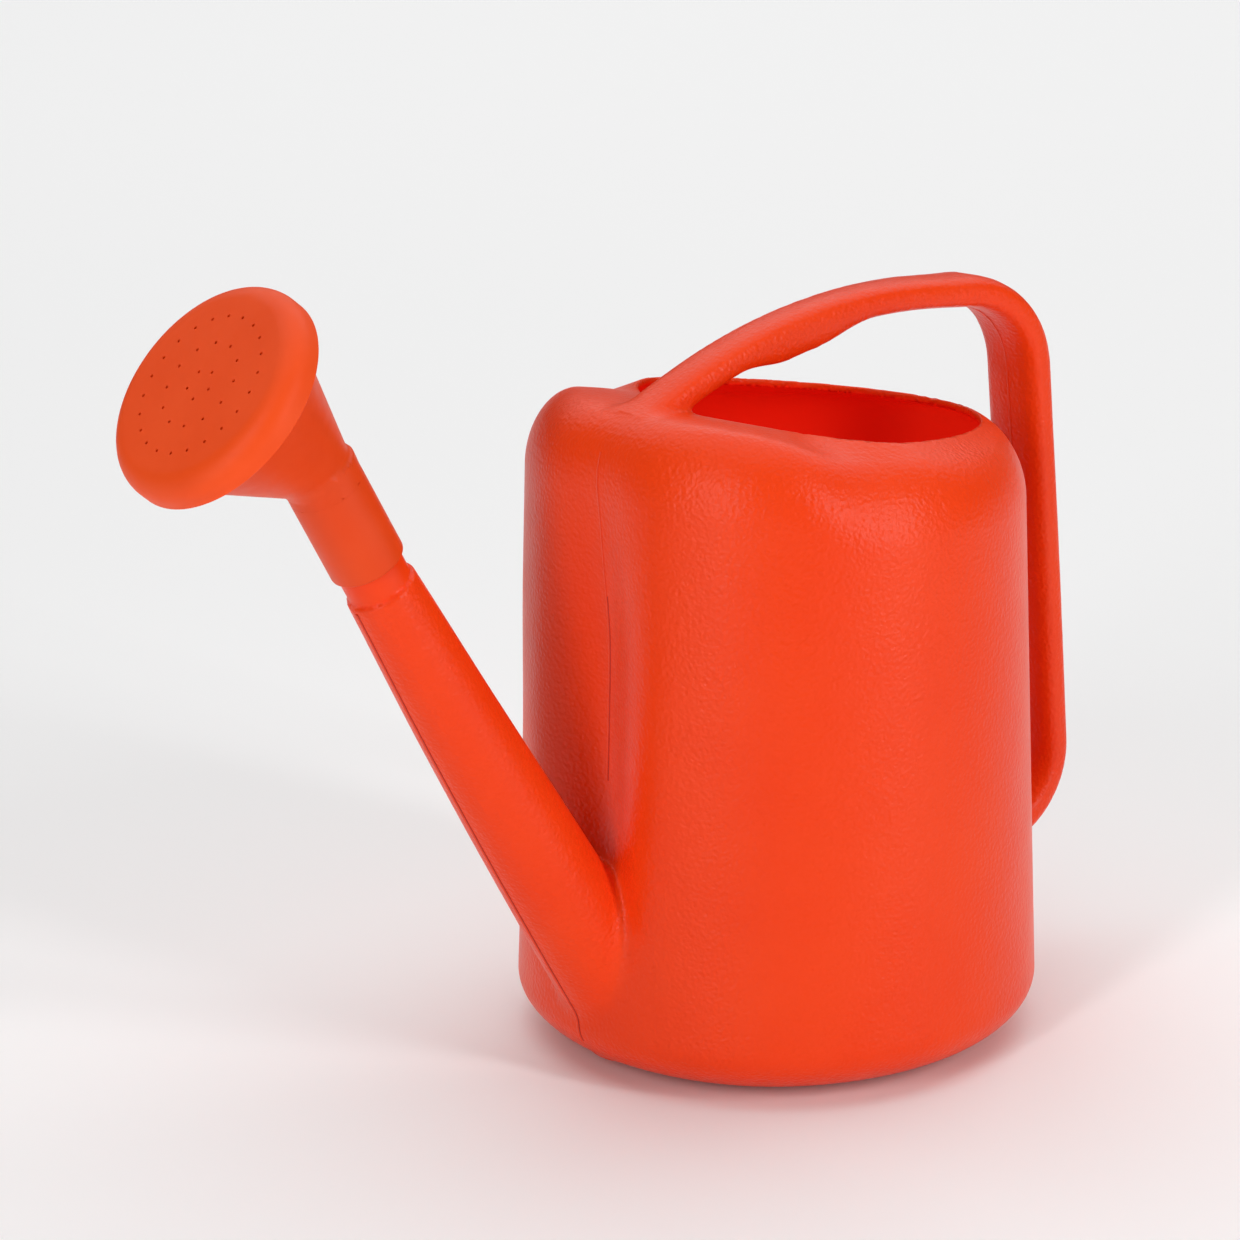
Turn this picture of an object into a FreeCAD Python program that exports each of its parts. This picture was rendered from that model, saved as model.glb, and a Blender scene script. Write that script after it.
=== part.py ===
import FreeCAD, Part
import math
import os

import Sketcher

# A five litre plastic watering can. +Z is up, the spout points along -X, the handle is at +X,
# Y = 0 is the plane of symmetry and the origin is the centre of the resting face.

doc = FreeCAD.newDocument("watering_can")
sheet = doc.addObject("Spreadsheet::Sheet", "dims")

# Driving dimensions, in millimetres and degrees.
DIMENSIONS = {
    # tank
    "base_radius": 95.0,
    "draft_angle": 1.9,
    "wall": 2.2,
    "groove_depth": 8.0,
    "groove_radius": 60.0,
    "groove_blend": 30.0,
    "base_rounding": 20.0,
    "shoulder_rounding": 13.0,
    "base_height": 24.0,
    "shoulder_height": 205.0,
    "blank_height": 275.0,
    # the top is level over the front crest, drops, then slopes gently to the rear
    "crest_height": 242.0,
    "crest_end": -60.0,
    "dip_height": 227.5,
    "dip_start": -24.0,
    "rear_height": 218.0,
    "crest_rounding": 30.0,
    # mouth, two half ellipses that meet at its widest line
    "mouth_centre": -12.0,
    "mouth_half_width": 57.0,
    "mouth_front": 34.0,
    "mouth_rear": 90.0,
    # spout, measured down from its shoulder
    "shoulder_x": -175.6,
    "shoulder_z": 197.2,
    "spout_angle": 59.0,
    "spout_length": 213.0,
    "spout_radius": 12.7,
    "spout_root_radius": 19.9,
    "spout_wall": 2.0,
    "bore_length": 200.0,
    # neck, measured up from the shoulder
    "neck_angle": 61.2,
    "neck_radius": 11.3,
    "neck_bore": 9.3,
    "neck_length": 36.0,
    # rose
    "neck_show": 9.7,
    "socket_clearance": 0.05,
    "socket_wall": 2.0,
    "socket_length": 31.0,
    "turning_gap": 0.05,
    "elbow_height": 45.6,
    "rose_angle": 40.1,
    "rose_depth": 59.5,
    "rose_wall": 1.8,
    "cone_radius": 11.0,
    "cone_end_radius": 33.0,
    "cap_radius": 39.0,
    "cap_rounding": 7.5,
    "cap_depth": 11.5,
    "cap_wall": 1.8,
    "cap_gap": 0.3,
    "lip_reach": 4.5,
    "spray_hole_radius": 0.6,
    "inner_ring_radius": 5.4,
    "inner_ring_holes": 5,
    "inner_ring_turn": -26.5,
    "middle_ring_radius": 15.2,
    "middle_ring_holes": 12,
    "middle_ring_turn": -14.3,
    "outer_ring_radius": 25.0,
    "outer_ring_holes": 22,
    "outer_ring_turn": -3.4,
    # handle
    "handle_height": 12.4,
    "handle_width": 21.5,
    "handle_wall": 2.0,
    "grip_end_z": 222.0,
    # corners of the handle's centre line, front root to lower root, and the bends between them
    "root_x": -66.0,
    "root_z": 235.0,
    "arch_x": 6.3,
    "arch_z": 266.6,
    "arch_bend": 240.0,
    "heel_x": 117.8,
    "heel_z": 255.3,
    "heel_bend": 40.0,
    "elbow_x": 136.2,
    "elbow_z": 56.0,
    "elbow_bend": 30.0,
    "foot_x": 86.0,
    "foot_z": 38.0,
}
for row, (alias, value) in enumerate(DIMENSIONS.items(), start=1):
    sheet.set("A%d" % row, alias)
    sheet.set("B%d" % row, str(value))
    sheet.setAlias("B%d" % row, alias)
doc.recompute()


def size(alias):
    """A driving dimension as a plain number."""
    return float(getattr(sheet, alias))


def bind(obj, **expressions):
    """Bind properties to expressions; a dot in a property path is written as two underscores."""
    for path, expression in expressions.items():
        obj.setExpression(path.replace("__", "."), expression)


def primitive(kind, name, **expressions):
    obj = doc.addObject(kind, name)
    bind(obj, **expressions)
    return obj


def aim(obj, angle, start, distance="0"):
    """Point local +Z up and forward at angle above the horizontal, distance along it from start."""
    x, z = start
    obj.Placement = FreeCAD.Placement(FreeCAD.Vector(), FreeCAD.Rotation(FreeCAD.Vector(0, 1, 0), -30))
    bind(
        obj,
        Placement__Base__x="(%s) - (%s) * cos(%s * 1 deg)" % (x, distance, angle),
        Placement__Base__z="(%s) + (%s) * sin(%s * 1 deg)" % (z, distance, angle),
        Placement__Rotation__Angle="(%s - 90) * 1 deg" % angle,
    )
    return obj


def boolean(kind, name, base, tool):
    obj = doc.addObject(kind, name)
    obj.Base = base
    obj.Tool = tool
    return obj


def cut(name, base, *tools):
    """Base with each tool taken away in turn; the last result carries the name."""
    for count, tool in enumerate(tools, start=1):
        step = name if count == len(tools) else "%s_step_%d" % (name, count)
        base = boolean("Part::Cut", step, base, tool)
    return base


def new_body(name):
    return doc.addObject("PartDesign::Body", name)


def origin_feature(body, role):
    return next(item for item in body.Origin.OriginFeatures if item.Role == role)


def new_sketch(body, name, role):
    sketch = body.newObject("Sketcher::SketchObject", name)
    sketch.AttachmentSupport = (origin_feature(body, role), [""])
    sketch.MapMode = "FlatFace"
    return sketch


def value(expression):
    """What an expression of sheet cells comes to."""
    result = sheet.evalExpression(expression)
    return float(getattr(result, "Value", result))


def constrain(sketch, expression, kind, *places):
    """Add a dimensional constraint bound to an expression."""
    index = sketch.addConstraint(Sketcher.Constraint(kind, *places, value(expression)))
    sketch.setExpression("Constraints[%d]" % index, expression)


def polygon(sketch, corners):
    """A closed outline of straight lines; each corner is a pair of expressions."""
    points = [FreeCAD.Vector(value(x), value(y), 0) for x, y in corners]
    for start, end in zip(points, points[1:] + points[:1]):
        sketch.addGeometry(Part.LineSegment(start, end))
    for line in range(len(points)):
        sketch.addConstraint(Sketcher.Constraint("Coincident", line, 2, (line + 1) % len(points), 1))
    for line, (x, y) in enumerate(corners):
        constrain(sketch, x, "DistanceX", -1, 1, line, 1)
        constrain(sketch, y, "DistanceY", -1, 1, line, 1)


# ---------------------------------------------------------------- tank

OUTLINE_REACH = 150.0


def plan_outline(sketch, inset):
    """The tank's plan: a circle with a soft upright groove down its front.

    Each arc's drawn place is worked out from the tangency of the blends, and the constraints hold it.
    """
    radius = value("dims.base_radius - " + inset)
    groove = value("dims.groove_radius + " + inset)
    blend = value("dims.groove_blend - " + inset)
    groove_x = size("base_radius") - size("groove_depth") + size("groove_radius")
    blend_x = ((groove + blend) ** 2 - (radius - blend) ** 2 - groove_x**2) / (2 * groove_x)
    blend_y = math.sqrt((radius - blend) ** 2 - blend_x**2)
    turn_in = math.atan2(blend_y, blend_x)
    turn_out = math.atan2(-blend_y, -groove_x - blend_x)
    half_groove = math.atan2(blend_y, groove_x + blend_x)

    def arc(x, y, r, start, end):
        circle = Part.Circle(FreeCAD.Vector(x, y, 0), FreeCAD.Vector(0, 0, 1), r)
        return sketch.addGeometry(Part.ArcOfCircle(circle, start, end))

    wall = arc(0, 0, radius, -turn_in, turn_in)
    left = arc(blend_x, blend_y, blend, turn_in, turn_out + 2 * math.pi)
    front = arc(-groove_x, 0, groove, -half_groove, half_groove)
    right = arc(blend_x, -blend_y, blend, -turn_out, 2 * math.pi - turn_in)
    for first, first_end, second, second_end in (
        (wall, 2, left, 1),
        (left, 2, front, 2),
        (front, 1, right, 1),
        (right, 2, wall, 1),
    ):
        sketch.addConstraint(Sketcher.Constraint("Tangent", first, first_end, second, second_end))
    sketch.addConstraint(Sketcher.Constraint("Coincident", wall, 3, -1, 1))
    sketch.addConstraint(Sketcher.Constraint("PointOnObject", front, 3, -1))
    sketch.addConstraint(Sketcher.Constraint("Equal", left, right))
    groove_place = "dims.base_radius - dims.groove_depth + dims.groove_radius"
    constrain(sketch, "dims.base_radius - " + inset, "Radius", wall)
    constrain(sketch, "dims.groove_radius + " + inset, "Radius", front)
    constrain(sketch, "dims.groove_blend - " + inset, "Radius", left)
    constrain(sketch, groove_place, "DistanceX", front, 3, -1, 1)


def top_outline(sketch, inset):
    """Everything above the tank's top, in side view.

    A cavity's sketch plane is lifted by the inset too, so its top drops by twice as much.
    """
    heights = ["dims.%s - 2 * %s" % (name, inset) for name in ("crest_height", "dip_height", "rear_height")]
    reach = "%g" % OUTLINE_REACH
    far = "%g" % -OUTLINE_REACH
    polygon(
        sketch,
        [
            (far, heights[0]),
            ("dims.crest_end", heights[0]),
            ("dims.dip_start", heights[1]),
            (reach, heights[2]),
            (reach, "dims.blank_height + 10"),
            (far, "dims.blank_height + 10"),
        ],
    )


def is_crease(edge):
    """An edge across the top, where two of its slopes meet."""
    box = edge.BoundBox
    return box.XLength < 0.01 and box.ZLength < 0.01 and box.ZMin > size("shoulder_height")


def is_level(edge, height):
    return abs(edge.BoundBox.ZMin - height) < 0.01 and abs(edge.BoundBox.ZMax - height) < 0.01


def is_brow(edge):
    """An edge where the top meets the side wall."""
    box = edge.BoundBox
    across = box.XLength < 0.01 or box.YLength < 0.01
    return box.ZMin > size("shoulder_height") and not across


def round_edges(body, name, test, radius):
    """Fillet the edges of the body's tip that pass the test."""
    doc.recompute()
    base = body.Tip
    edges = ["Edge%d" % n for n, edge in enumerate(base.Shape.Edges, start=1) if test(edge)]
    fillet = body.newObject("PartDesign::Fillet", name)
    fillet.Base = (base, edges)
    fillet.setExpression("Radius", radius)
    doc.recompute()
    print(name, len(edges), "edges", fillet.State, round(fillet.Shape.Volume))
    return fillet


def drum(name, inset):
    """The tank's outer form, or with an inset of one wall, its cavity; the inset is an expression."""
    body = new_body(name)
    plan = new_sketch(body, name + "_plan", "XY_Plane")
    plan_outline(plan, inset)
    pad = body.newObject("PartDesign::Pad", name + "_pad")
    pad.Profile = plan
    bind(pad, Length="dims.blank_height", TaperAngle="-dims.draft_angle")
    doc.recompute()
    side = new_sketch(body, name + "_top", "XZ_Plane")
    top_outline(side, inset)
    pocket = body.newObject("PartDesign::Pocket", name + "_top_cut")
    pocket.Profile = side
    pocket.Type = "ThroughAll"
    pocket.Midplane = True
    doc.recompute()
    print(name, "pad", round(pad.Shape.Volume), "topped", round(pocket.Shape.Volume))
    round_edges(body, name + "_creases", is_crease, "dims.crest_rounding")
    round_edges(body, name + "_foot", lambda edge: is_level(edge, 0.0), "dims.base_rounding - " + inset)
    round_edges(body, name + "_brow", is_brow, "dims.shoulder_rounding - " + inset)
    body.setExpression("Placement.Base.z", inset)
    return body


def ellipse(name, major, minor, turn):
    """A flat ellipse; a turn of 90 degrees lays its long axis along Y."""
    obj = primitive("Part::Ellipse", name, MajorRadius=major, MinorRadius=minor)
    spin = FreeCAD.Rotation(FreeCAD.Vector(0, 0, 1), turn)
    obj.Placement = FreeCAD.Placement(FreeCAD.Vector(), spin)
    bind(obj, Placement__Base__x="dims.mouth_centre", Placement__Base__z="dims.shoulder_height")
    return obj


def upright(name, outline):
    """An upright prism on a flat outline, tall enough to pass through the tank's top."""
    obj = doc.addObject("Part::Extrusion", name)
    obj.Base = outline
    obj.Dir = FreeCAD.Vector(0, 0, 1)
    obj.DirMode = "Custom"
    obj.Solid = True
    obj.setExpression("LengthFwd", "dims.blank_height - dims.shoulder_height")
    return obj


def slab(name, low, high):
    """A wide block between two heights."""
    return primitive(
        "Part::Box", name,
        Length="2 * %g" % OUTLINE_REACH,
        Width="2 * %g" % OUTLINE_REACH,
        Height="(%s) - (%s)" % (high, low),
        Placement__Base__x="%g" % -OUTLINE_REACH,
        Placement__Base__y="%g" % -OUTLINE_REACH,
        Placement__Base__z=low,
    )


def mouth_opening():
    """Rounded at the front, drawn out towards the rear."""
    front = upright("mouth_front", ellipse("mouth_front_rim", "dims.mouth_half_width", "dims.mouth_front", 90))
    rear = upright("mouth_rear", ellipse("mouth_rear_rim", "dims.mouth_rear", "dims.mouth_half_width", 0))
    behind = primitive(
        "Part::Box", "behind_mouth_centre",
        Length="dims.mouth_rear",
        Width="2 * dims.mouth_half_width",
        Height="dims.blank_height",
        Placement__Base__x="dims.mouth_centre",
        Placement__Base__y="-dims.mouth_half_width",
    )
    rear_half = boolean("Part::Common", "mouth_rear_half", rear, behind)
    return boolean("Part::Fuse", "mouth", front, rear_half)


# ---------------------------------------------------------------- spout

SHOULDER = ("dims.shoulder_x", "dims.shoulder_z")
SPOUT_GROWTH = "(dims.spout_root_radius - dims.spout_radius) / dims.spout_length"


def spout_cone(name, inset, length):
    """A cone from low in the tank's front up to the shoulder."""
    root = "dims.spout_radius + %s * %s - %s" % (length, SPOUT_GROWTH, inset)
    cone = primitive(
        "Part::Cone", name,
        Radius1=root,
        Radius2="dims.spout_radius - %s" % inset,
        Height=length,
    )
    return aim(cone, "dims.spout_angle", SHOULDER, "-%s" % length)


def neck_rod(name, radius, low, high):
    """A round length on the neck's axis between two distances from the shoulder."""
    rod = primitive("Part::Cylinder", name, Radius=radius, Height="(%s) - (%s)" % (high, low))
    return aim(rod, "dims.neck_angle", SHOULDER, low)


def spout_parts(tank_form, bore):
    """The spout outside the tank, and the narrower neck on its end."""
    cone = spout_cone("spout_blank", "0", "dims.spout_length")
    spout = cut("spout", cone, bore, tank_form)
    neck_blank = neck_rod("neck_blank", "dims.neck_radius", "-dims.spout_wall", "dims.neck_length")
    neck_bore = neck_rod("neck_through", "dims.neck_bore", "-2 * dims.spout_wall", "dims.neck_length + 1")
    neck = cut("spout_neck", neck_blank, neck_bore, cone)
    return [spout, neck]


# ---------------------------------------------------------------- rose

ELBOW = (
    "dims.shoulder_x - dims.elbow_height * cos(dims.neck_angle * 1 deg)",
    "dims.shoulder_z + dims.elbow_height * sin(dims.neck_angle * 1 deg)",
)
SOCKET_BORE = "dims.neck_radius + dims.socket_clearance"
SOCKET_END = "dims.neck_show + dims.socket_length"
BELL_START = SOCKET_END + " + dims.turning_gap"


def rose_rod(name, radius, low, high):
    """A round length on the rose's axis between two distances from its elbow."""
    rod = primitive("Part::Cylinder", name, Radius=radius, Height="(%s) - (%s)" % (high, low))
    return aim(rod, "dims.rose_angle", ELBOW, low)


def rose_socket():
    outer = neck_rod("socket_blank", SOCKET_BORE + " + dims.socket_wall", "dims.neck_show", SOCKET_END)
    inner = neck_rod("socket_bore", SOCKET_BORE, "dims.neck_show - 1", SOCKET_END + " + 1")
    return cut("rose_socket", outer, inner)


def rose_form(name, inset, overrun):
    """The rose's bell: a stub in line with the socket, a round elbow, a cone and a wider lip."""
    stub_radius = "%s + dims.socket_wall - %s" % (SOCKET_BORE, inset)
    lip_radius = "dims.cap_radius - dims.cap_wall - dims.cap_gap - %s" % inset
    lip_start = "dims.rose_depth - dims.cap_depth"
    stub = neck_rod(name + "_stub", stub_radius, "%s - %s" % (BELL_START, overrun), "dims.elbow_height")
    elbow = primitive(
        "Part::Sphere", name + "_elbow",
        Radius=stub_radius, Placement__Base__x=ELBOW[0], Placement__Base__z=ELBOW[1],
    )
    flange_start = "%s + %s" % (lip_start, inset)
    bell = primitive(
        "Part::Cone", name + "_cone",
        Radius1="dims.cone_radius - %s" % inset,
        Radius2="dims.cone_end_radius - %s" % inset,
        Height=flange_start,
    )
    aim(bell, "dims.rose_angle", ELBOW)
    lip_end = "%s + dims.lip_reach + %s" % (lip_start, overrun)
    lip = rose_rod(name + "_lip", lip_radius, flange_start, lip_end)
    form = doc.addObject("Part::MultiFuse", name)
    form.Shapes = [stub, elbow, bell, lip]
    return form


def rose_bell():
    """The bell, cut off square just clear of the socket that it turns on."""
    outer = rose_form("rose_form", "0", "0")
    hollow = rose_form("rose_hollow", "dims.rose_wall", "1")
    below = neck_rod("below_bell", "dims.cap_radius", "0", BELL_START)
    return cut("rose_bell", outer, hollow, below)


def spray_ring(body, ring):
    """One hole through the cap's face, repeated round its ring."""
    radius = size(ring + "_radius")
    turn = math.radians(size(ring + "_turn"))
    sketch = new_sketch(body, ring + "_hole", "XY_Plane")
    middle = FreeCAD.Vector(radius * math.cos(turn), radius * math.sin(turn), 0)
    circle = sketch.addGeometry(Part.Circle(middle, FreeCAD.Vector(0, 0, 1), size("spray_hole_radius")))
    reach = "dims.%s_radius * %%s(dims.%s_turn * 1 deg)" % (ring, ring)
    constrain(sketch, "dims.spray_hole_radius", "Radius", circle)
    constrain(sketch, reach % "cos", "DistanceX", -1, 1, circle, 3)
    constrain(sketch, reach % "sin", "DistanceY", -1, 1, circle, 3)
    pocket = body.newObject("PartDesign::Pocket", ring + "_pocket")
    pocket.Profile = sketch
    pocket.Type = "ThroughAll"
    pocket.Midplane = True
    doc.recompute()
    pattern = body.newObject("PartDesign::PolarPattern", ring + "_pattern")
    pattern.Originals = [pocket]
    pattern.Axis = (origin_feature(body, "Z_Axis"), [""])
    pattern.Angle = 360
    pattern.setExpression("Occurrences", "dims.%s_holes" % ring)
    body.Tip = pattern
    doc.recompute()
    print(ring, round(pocket.Shape.Volume, 1), "->", round(pattern.Shape.Volume, 1))


def cap_outline(sketch):
    """Half the cap's section: a flat face, a round edge and a skirt, all one wall thick."""
    radius, bend, wall, depth = (size("cap_" + name) for name in ("radius", "rounding", "wall", "depth"))
    flat = radius - bend
    bend_centre = FreeCAD.Vector(flat, -bend, 0)

    def line(*ends):
        points = [FreeCAD.Vector(x, y, 0) for x, y in ends]
        return sketch.addGeometry(Part.LineSegment(*points))

    def quarter(r):
        circle = Part.Circle(bend_centre, FreeCAD.Vector(0, 0, 1), r)
        return sketch.addGeometry(Part.ArcOfCircle(circle, 0, math.pi / 2))

    face = line((0, 0), (flat, 0))
    edge = quarter(bend)
    skirt = line((radius, -bend), (radius, -depth))
    hem = line((radius, -depth), (radius - wall, -depth))
    lining = line((radius - wall, -depth), (radius - wall, -bend))
    inner_edge = quarter(bend - wall)
    ceiling = line((flat, -wall), (0, -wall))
    middle = line((0, -wall), (0, 0))
    for joint in (
        (face, 2, edge, 2),
        (edge, 1, skirt, 1),
        (lining, 2, inner_edge, 1),
        (inner_edge, 2, ceiling, 1),
    ):
        sketch.addConstraint(Sketcher.Constraint("Tangent", *joint))
    for joint in (
        (face, 1, -1, 1),
        (skirt, 2, hem, 1),
        (hem, 2, lining, 1),
        (ceiling, 2, middle, 1),
        (middle, 2, face, 1),
        (edge, 3, inner_edge, 3),
    ):
        sketch.addConstraint(Sketcher.Constraint("Coincident", *joint))
    for flat_line in (face, hem):
        sketch.addConstraint(Sketcher.Constraint("Horizontal", flat_line))
    sketch.addConstraint(Sketcher.Constraint("Vertical", middle))
    constrain(sketch, "dims.cap_rounding", "Radius", edge)
    constrain(sketch, "dims.cap_rounding - dims.cap_wall", "Radius", inner_edge)
    constrain(sketch, "dims.cap_radius", "DistanceX", -1, 1, skirt, 2)
    constrain(sketch, "-dims.cap_depth", "DistanceY", -1, 1, skirt, 2)


def rose_cap():
    """The perforated face cap: a shallow cup with a well rounded edge, its face at local Z = 0."""
    body = new_body("rose_cap")
    section = new_sketch(body, "cap_section", "XZ_Plane")
    cap_outline(section)
    turned = body.newObject("PartDesign::Revolution", "cap_turned")
    turned.Profile = section
    turned.ReferenceAxis = (section, ["V_Axis"])
    turned.Angle = 360
    doc.recompute()
    print("cap turned", round(turned.Shape.Volume, 1), turned.State)
    for ring in ("inner_ring", "middle_ring", "outer_ring"):
        spray_ring(body, ring)
    return aim(body, "dims.rose_angle", ELBOW, "dims.rose_depth")


# ---------------------------------------------------------------- handle

def centre_line():
    """The handle's centre line: straight runs joined by tangent bends, in the plane of symmetry."""
    names = ("root", "arch", "heel", "elbow", "foot")
    path = doc.addObject("Sketcher::SketchObject", "handle_path")
    path.Placement = FreeCAD.Placement(FreeCAD.Vector(), FreeCAD.Rotation(FreeCAD.Vector(1, 0, 0), 90))
    points = [FreeCAD.Vector(size(name + "_x"), size(name + "_z"), 0) for name in names]
    for start, end in zip(points, points[1:]):
        path.addGeometry(Part.LineSegment(start, end))
    for line in range(len(points) - 2):
        path.addConstraint(Sketcher.Constraint("Coincident", line, 2, line + 1, 1))
    ends = [(line, 1) for line in range(len(points) - 1)] + [(len(points) - 2, 2)]
    for name, (line, end) in zip(names, ends):
        constrain(path, "dims.%s_x" % name, "DistanceX", -1, 1, line, end)
        constrain(path, "dims.%s_z" % name, "DistanceY", -1, 1, line, end)
    for line, name in enumerate(names[1:-1]):
        path.fillet(line, 2, size(name + "_bend"), True, True)
    doc.recompute()
    for index, item in enumerate(path.Geometry):
        if isinstance(item, Part.ArcOfCircle):
            name = min(names[1:-1], key=lambda bend: abs(size(bend + "_bend") - item.Radius))
            constrain(path, "dims.%s_bend" % name, "Radius", index)
    return path


def handle_sweep(name, path, inset):
    """An oval swept along the centre line."""
    oval = primitive(
        "Part::Ellipse", name + "_section",
        MajorRadius="dims.handle_width / 2 - %s" % inset,
        MinorRadius="dims.handle_height / 2 - %s" % inset,
    )
    run = FreeCAD.Vector(size("arch_x") - size("root_x"), 0, size("arch_z") - size("root_z"))
    side = FreeCAD.Vector(0, 1, 0)
    turn = FreeCAD.Rotation(side, run.cross(side), run, "ZXY")
    oval.Placement = FreeCAD.Placement(FreeCAD.Vector(size("root_x"), 0, size("root_z")), turn)
    edges = ["Edge%d" % n for n in range(1, len(path.Shape.Edges) + 1)]
    sweep = doc.addObject("Part::Sweep", name)
    sweep.Sections = [oval]
    sweep.Spine = (path, edges)
    sweep.Solid = True
    return sweep


def handle_parts(tank_form):
    """The hollow handle outside the tank, as its grip and its rear post."""
    path = centre_line()
    outer = handle_sweep("handle_blank", path, "0")
    inner = handle_sweep("handle_hollow", path, "dims.handle_wall")
    handle = cut("handle", outer, inner, tank_form)
    above = slab("above_grip_end", "dims.grip_end_z", "dims.blank_height")
    below = slab("below_grip_end", "0", "dims.grip_end_z")
    return [
        boolean("Part::Common", "handle_grip", handle, above),
        boolean("Part::Common", "handle_post", handle, below),
    ]


# ---------------------------------------------------------------- assembly

def tank_parts(tank_form, bore):
    """The tank's shell as its base, wall and shoulder."""
    cavity = drum("tank_cavity", "dims.wall")
    shell = cut("tank", tank_form, cavity, mouth_opening(), bore)
    levels = ["0", "dims.base_height", "dims.shoulder_height", "dims.blank_height"]
    names = ("tank_base", "tank_wall", "tank_shoulder")
    return [
        boolean("Part::Common", name, shell, slab(name + "_zone", low, high))
        for name, low, high in zip(names, levels, levels[1:])
    ]


def build():
    tank_form = drum("tank_form", "0")
    bore = spout_cone("spout_bore", "dims.spout_wall", "dims.bore_length")
    parts = tank_parts(tank_form, bore)
    parts += spout_parts(tank_form, bore)
    parts += handle_parts(tank_form)
    parts += [rose_socket(), rose_bell(), rose_cap()]
    doc.recompute()
    return parts


def check(parts):
    for obj in doc.Objects:
        if "Invalid" in obj.State or "Error" in obj.State:
            raise RuntimeError("%s failed: %s" % (obj.Label, obj.State))
    for part in parts:
        if part.Shape.isNull() or not part.Shape.isValid():
            raise RuntimeError("%s has no valid shape" % part.Label)


def export(parts):
    os.makedirs("parts", exist_ok=True)
    for part in parts:
        part.Shape.exportStep("parts/%s.step" % part.Label)
        print(part.Label, len(part.Shape.Solids), "solid,", round(part.Shape.Volume / 1000, 1), "cm3")


all_parts = build()
check(all_parts)
export(all_parts)
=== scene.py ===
import math

import bpy
import numpy as np
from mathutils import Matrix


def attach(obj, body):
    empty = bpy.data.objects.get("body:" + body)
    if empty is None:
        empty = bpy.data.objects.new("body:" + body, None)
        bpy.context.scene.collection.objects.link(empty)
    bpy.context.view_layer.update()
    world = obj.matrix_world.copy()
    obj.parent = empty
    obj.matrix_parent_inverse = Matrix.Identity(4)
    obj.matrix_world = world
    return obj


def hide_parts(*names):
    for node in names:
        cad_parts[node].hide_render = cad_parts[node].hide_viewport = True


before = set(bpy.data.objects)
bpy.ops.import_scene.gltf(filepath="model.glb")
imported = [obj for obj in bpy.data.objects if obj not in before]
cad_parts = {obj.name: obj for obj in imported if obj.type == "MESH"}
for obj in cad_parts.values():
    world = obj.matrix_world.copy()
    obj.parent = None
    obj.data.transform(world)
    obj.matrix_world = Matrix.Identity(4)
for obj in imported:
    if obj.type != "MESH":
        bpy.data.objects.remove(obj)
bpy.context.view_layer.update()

import openvdb
from mathutils import Matrix, Vector

# A plastic watering can in red-orange, +Z up, spout along -X, handle at +X.
# Shapes are written in millimetres and degrees; meshes are made in metres.
MM = 0.001

# ---------------------------------------------------------------- measures

TANK_RADIUS = 94.95
TANK_DRAFT = math.tan(math.radians(1.9))
WALL = 2.2
LAND_WALL = 3.0
FOOT_ROUNDING = (36.0, 21.0)
# rounding of the shoulder by angle from the spout: how far in, and how far down for each step in;
# it takes up no more than this share of a narrow land
BROW_ACROSS = [(0, 18.5), (50, 18.5), (115, 12.5), (180, 11.5)]
BROW_DROP = 1.5
BROW_SHARE = 0.9
LEAST_ROUNDING = 0.5
LEAST_LAND = 1.0
# the lobes either side of the groove swell a little towards the top
LOBE_ANGLE = 42.0
LOBE_SPREAD = 30.0
LOBE_SWELL = [(0, 0.5), (60, 0.0), (110, 0.2), (170, 1.2), (210, 1.2), (250, 0.4)]
GROOVE_ANGLE = 29.0
GROOVE_SHARPNESS = 4
GROOVE_DEPTH = [(0, 0.0), (22, 0.0), (75, 11.5), (150, 12.0), (197, 7.5), (240, 3.0)]

MOUTH_CENTRE = -1.0
MOUTH_HALF_WIDTH = 65.5
MOUTH_FRONT = 42.0
MOUTH_FRONT_POINT = 1.55
MOUTH_REAR = 85.0
MOUTH_REAR_POINT = 1.75
RIM_LEVEL = 228.6
RIM_SLOPE = 0.128
# rise of the land beyond the rim, by angle from the spout
LAND_RISE = [(0, 0.29), (27, 0.33), (40, 0.28), (76, -0.40), (95, -0.45), (180, -0.45)]
# a rising land levels off about this far out from the rim
CREST_REACH = 14.0
# rises between which the land changes from straight to levelling off
CREST_BLEND = (-0.33, 0.3)
RIM_EDGE = 1.3

# where the spout steps in to the neck, as (x, z)
SHOULDER = (-175.6, 197.2)
SPOUT_ANGLE = 59.0
SPOUT_RADIUS = 12.5
SPOUT_GROWTH = 0.0341
SPOUT_LENGTH = 213.0
# the underside bows out, and the axis sags once past the top of the spout
SPOUT_BOW = 1.3
SPOUT_SAG = 0.5
SAG_SHARE = 0.3
SPOUT_WALL = 2.0
SPOUT_EDGE = 1.6
BORE_LENGTH = 208.0
ROOT_FILLET = 7.0
FOOT_FILLET = 1.0
# heights over which the fillet grows from the foot's to the root's
FILLET_FADE = (8.0, 60.0)

NECK_ANGLE = 61.2
NECK_RADIUS = 11.3
NECK_LENGTH = 36.0
NECK_BORE = 9.3
NECK_EDGE = 0.8
NECK_FILLET = 0.6
BORE_EDGE = 0.5

HANDLE_CORNERS = [(-66.0, 232.8), (6.3, 266.1), (117.8, 255.9), (136.2, 56.0), (86.0, 38.0)]
HANDLE_BENDS = [240.0, 35.0, 30.0]
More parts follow.
